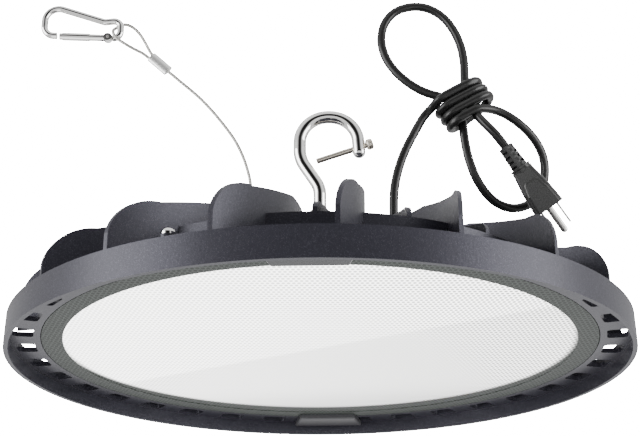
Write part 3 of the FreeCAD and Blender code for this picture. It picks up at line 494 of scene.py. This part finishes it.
# %% The closing screw
SCREW_AXIS = (0.9426, 0.0, 0.3338)
SCREW_SIDE = (-0.3338, 0.0, 0.9426)
HEAD_BASE, HEAD_BLUR = 0.0834, 0.0002
KNURL_ACROSS, KNURL_ALONG = 1.1 * MM, 1.6 * MM


def closing_bar():
    metal = Finish("brass_plate", Base_Color=(0.80, 0.74, 0.64, 1), Metallic=1.0)
    place = metal.place()
    travel = metal.along(place, SCREW_AXIS)
    across = metal.along(place, SCREW_SIDE)
    knurl = ((across * (2 * math.pi / KNURL_ACROSS)).maths("SINE")
             * (travel * (2 * math.pi / KNURL_ALONG)).maths("SINE"))
    head = metal.spread(travel, HEAD_BASE - HEAD_BLUR, HEAD_BASE + HEAD_BLUR)
    return metal.feed(Roughness=0.20 + metal.noise(500, 2, place) * 0.12,
                      Normal=metal.bump(knurl * head, 0.00010, 0.7))


dress(polished(), "hook", "hook_washer", "hook_nut", "hook_lock_nut", "wire_socket",
      "snap_hook_body", "snap_hook_gate", "board_screws")
dress(closing_bar(), "hook_screw")
dress(satin("satin_steel", (0.82, 0.81, 0.78, 1)), "plug_earth_pin", "plug_blades",
      "clip_screws", "cover_screws", "gate_pin")
dress(satin("pressed_sleeve", (0.97, 0.97, 0.96, 1), (3, 3, 3), 0.30), "wire_ferrule")

# %% [markdown]
# ## Stranded wire
# The rope's strands wrap round it at an angle. A curve keeps its length along one texture axis,
# so a slanted wave in that space gives strands that follow every bend.

# %% Strands
STRANDS_ALONG, STRANDS_ROUND = 170, 6


def strands():
    steel = Finish("wire_strands", Base_Color=(0.50, 0.49, 0.46, 1), Metallic=0.8)
    cable = steel.node("ShaderNodeTexCoord", output="UV")
    length = steel.along(cable, (1, 0, 0))
    girth = steel.along(cable, (0, 1, 0))
    wave = (length * STRANDS_ALONG + girth * STRANDS_ROUND) * (2 * math.pi)
    twist = wave.maths("SINE") * 0.5 + 0.5
    return steel.feed(Roughness=0.40 - twist * 0.14, Normal=steel.bump(twist, 0.00016, 1.0))


dress(strands(), safety_wire)

# %% [markdown]
# ## Black plastics and rubber
# The cord's sheath is smooth PVC over three cores, which show as faint ridges along it. The plug
# is moulded in a greyer black, and the seals are matt rubber. The ridges come from the curve's
# own texture space, where one axis runs round the cable, so they follow every bend.

# %% Sheath, plug and rubber
CORES = 3


def sheath():
    plastic = Finish("cord_sheath", Specular_IOR_Level=0.35)
    girth = plastic.along(plastic.node("ShaderNodeTexCoord", output="UV"), (0, 1, 0))
    ridge = (girth * (2 * math.pi * CORES)).maths("SINE") * 0.5 + 0.5
    cloud = plastic.noise(30, 3)
    return plastic.feed(Base_Color=plastic.blend(cloud, grey(0.012), grey(0.019)),
                        Roughness=0.22 + cloud * 0.10, Normal=plastic.bump(ridge, 0.00035, 0.8))


def black(name, value, roughness, grain, depth, scale):
    plastic = Finish(name)
    texture = plastic.noise(scale, 3)
    cloud = plastic.noise(20, 3)
    return plastic.feed(Base_Color=plastic.blend(cloud, grey(value), grey(value * 1.5)),
                        Roughness=roughness + texture * grain,
                        Normal=plastic.bump(texture, depth, 0.6))


dress(sheath(), supply_cord)
dress(black("plug_moulding", 0.030, 0.24, 0.06, 0.00001, 300), "plug_strain_relief", "plug_body",
      "gland_body", "gland_nut", "gland_lock_nut")
dress(black("rubber", 0.018, 0.62, 0.12, 0.00008, 600),
      "lens_seal", "cover_seal", "gland_seal")

# %% [markdown]
# ## Inside the lamp
# The board is white enamelled aluminium, the light sources are small yellow squares of phosphor,
# and the driver is a plain case. They are hidden in use, and finished simply but truly.

# %% Inner pieces
def enamel(name, low, high, roughness):
    paint = Finish(name)
    cloud = paint.noise(60, 3)
    return paint.feed(Base_Color=paint.blend(cloud, low, high),
                      Roughness=roughness + cloud * 0.1,
                      Normal=paint.bump(paint.noise(700, 2), 0.00003, 0.4))


dress(enamel("white_enamel", grey(0.72), grey(0.80), 0.35), "led_board")
dress(enamel("phosphor", (0.70, 0.52, 0.10, 1), (0.80, 0.62, 0.16, 1), 0.5), "led_chips")
dress(enamel("driver_case", grey(0.45), grey(0.52), 0.4), "driver")
dress(enamel("terminal_plastic", grey(0.62), grey(0.68), 0.45), "terminal_block")
dress(enamel("core_sleeves", (0.10, 0.16, 0.30, 1), (0.14, 0.20, 0.36, 1), 0.4), "supply_leads")

# %% [markdown]
# ## The room
# Product shots are made in a white cove: light comes from everywhere, and the metal mirrors it. A
# bright world does that here. A dark patch in front, above the camera, is the flag that studios
# hang there: it keeps the middle of the ring deep grey and draws dark streaks down the polished
# hook. Large soft boxes on both sides lift the ring's flanks, and two low ones, in front and
# behind, light its flat underside.

# %% World
COVE_STRENGTH = 1.2
FLAG_FRONT, FLAG_FOOT, FLAG_TOP = (0.60, 0.90), (-0.12, 0.10), (0.60, 0.78)
COVE_TONES = [(0.0, grey(0.55)), (0.40, grey(0.90)), (0.52, grey(0.65)), (0.70, grey(0.85)),
              (1.0, grey(1.0))]


def cove_world():
    world = bpy.data.worlds.new("cove")
    world.use_nodes = True
    room = Network(world.node_tree)
    cove = next(n for n in world.node_tree.nodes if n.type == "BACKGROUND")
    way = room.node("ShaderNodeTexCoord", output="Generated")
    rise = room.along(way, (0, 0, 1))
    front = room.spread(room.along(way, (0, -1, 0)), *FLAG_FRONT)
    level = room.spread(rise, *FLAG_FOOT) * (1 - room.spread(rise, *FLAG_TOP))
    shades = room.node("ShaderNodeValToRGB", {"stops": COVE_TONES}, [rise * 0.5 + 0.5])
    light = room.blend(front * level, shades, grey(0.01))
    room.tree.links.new(light.socket, cove.inputs["Color"])
    cove.inputs["Strength"].default_value = COVE_STRENGTH
    return world


scene.world = cove_world()

# %% Floor
FLOOR_DEPTH, FLOOR_REACH = -3.2, 9
corners = [(-1, -1), (1, -1), (1, 1), (-1, 1)]
floor_mesh = bpy.data.meshes.new("floor")
floor_mesh.from_pydata([(x * FLOOR_REACH, y * FLOOR_REACH, FLOOR_DEPTH) for x, y in corners],
                       [], [(0, 1, 2, 3)])
floor = bpy.data.objects.new("floor", floor_mesh)
scene.collection.objects.link(floor)
floor_paint = Finish("floor_paint")
floor_paint.feed(Base_Color=floor_paint.blend(floor_paint.noise(2, 2), grey(0.80), grey(0.84)),
                 Roughness=0.6 + floor_paint.noise(8, 2) * 0.1)
floor.data.materials.append(floor_paint.material)

# %% White surroundings that only the camera sees
DOME_RADIUS, DOME_GLOW = 12, 30.0
shell = bmesh.new()
bmesh.ops.create_uvsphere(shell, u_segments=48, v_segments=24, radius=DOME_RADIUS)
dome_mesh = bpy.data.meshes.new("dome")
shell.to_mesh(dome_mesh)
shell.free()
dome = bpy.data.objects.new("dome", dome_mesh)
scene.collection.objects.link(dome)
glow = Finish("dome_glow", Base_Color=grey(0), Roughness=1.0, Emission_Color=grey(1),
              Emission_Strength=DOME_GLOW)
dome.data.materials.append(glow.material)
for rays in ("visible_diffuse", "visible_glossy", "visible_transmission", "visible_shadow"):
    setattr(dome, rays, False)


# %% Soft boxes
def soft_light(name, place, target, size, power):
    light = bpy.data.lights.new(name, "AREA")
    light.shape = "RECTANGLE"
    light.size, light.size_y = size
    light.energy = power
    holder = bpy.data.objects.new(name, light)
    holder.location = place
    holder.rotation_euler = (Vector(target) - Vector(place)).to_track_quat("-Z", "Y").to_euler()
    scene.collection.objects.link(holder)


soft_light("under_light", (0.0, -1.3, -2.6), (0, 0, 0), (3.4, 2.2), 36)
soft_light("left_light", (-1.9, -0.85, 0.25), (0, 0, 0.1), (1.4, 1.6), 42)
soft_light("right_light", (1.95, -0.75, 0.25), (0, 0, 0.1), (1.4, 1.6), 42)
soft_light("back_low_light", (0.0, 5.0, -2.1), (0, 0, 0), (6.0, 1.8), 26)

# %% Finish
bpy.context.view_layer.update()
